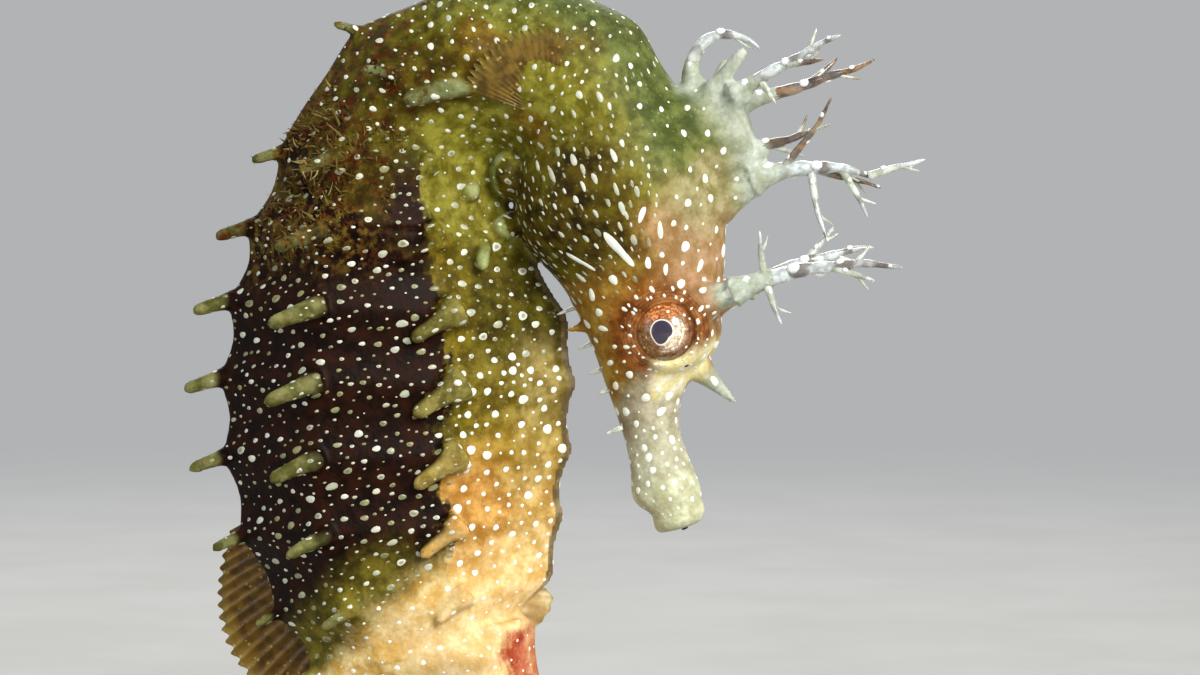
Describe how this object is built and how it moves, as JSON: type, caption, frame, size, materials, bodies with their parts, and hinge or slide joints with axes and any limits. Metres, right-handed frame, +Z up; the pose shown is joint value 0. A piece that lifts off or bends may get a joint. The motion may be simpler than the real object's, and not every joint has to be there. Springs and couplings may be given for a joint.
{
  "type": "long-snouted seahorse model",
  "caption": "Life-size still model of an adult male long-snouted seahorse, head bowed and tail curled forward, on a round display stand.",
  "frame": {"origin": "centre of the underside of the stand's round base", "axes": "+Z up, +X the way the animal's belly and bowed face look, +Y its left side"},
  "size_m": [0.058, 0.058, 0.0865],
  "materials": {
    "skin": "wet satin skin, olive gold to dark brown with white spots",
    "filament": "wet translucent skin filaments, banded brown and pale",
    "fin": "thin translucent fin membrane with rays",
    "eye": "wet clear eye",
    "base": "dark stained, satin varnish",
    "rod": "brushed"
  },
  "bodies": {
    "root": {"snout": "skin", "head": "skin", "coronet": "skin", "neck": "skin", "trunk_upper": "skin", "trunk_lower": "skin", "tail_base": "skin", "tail_shaft": "skin", "tail_bend": "skin", "tail_coil_outer": "skin", "tail_coil_inner": "skin", "tail_coil_end": "skin", "brood_pouch": "skin", "cirrus_front": "filament", "cirrus_brow_right": "filament", "cirrus_brow_left": "filament", "cirrus_coronet_right": "filament", "cirrus_coronet_left": "filament", "cirrus_coronet_middle": "filament", "cirrus_coronet_hind": "filament", "pectoral_fin_right": "fin", "pectoral_fin_left": "fin", "dorsal_fin": "fin", "anal_fin": "fin", "eye_right": "eye", "eye_left": "eye", "stand_base": "base", "stand_rod_body": "rod", "stand_rod_tail": "rod"}
  },
  "joints": []
}
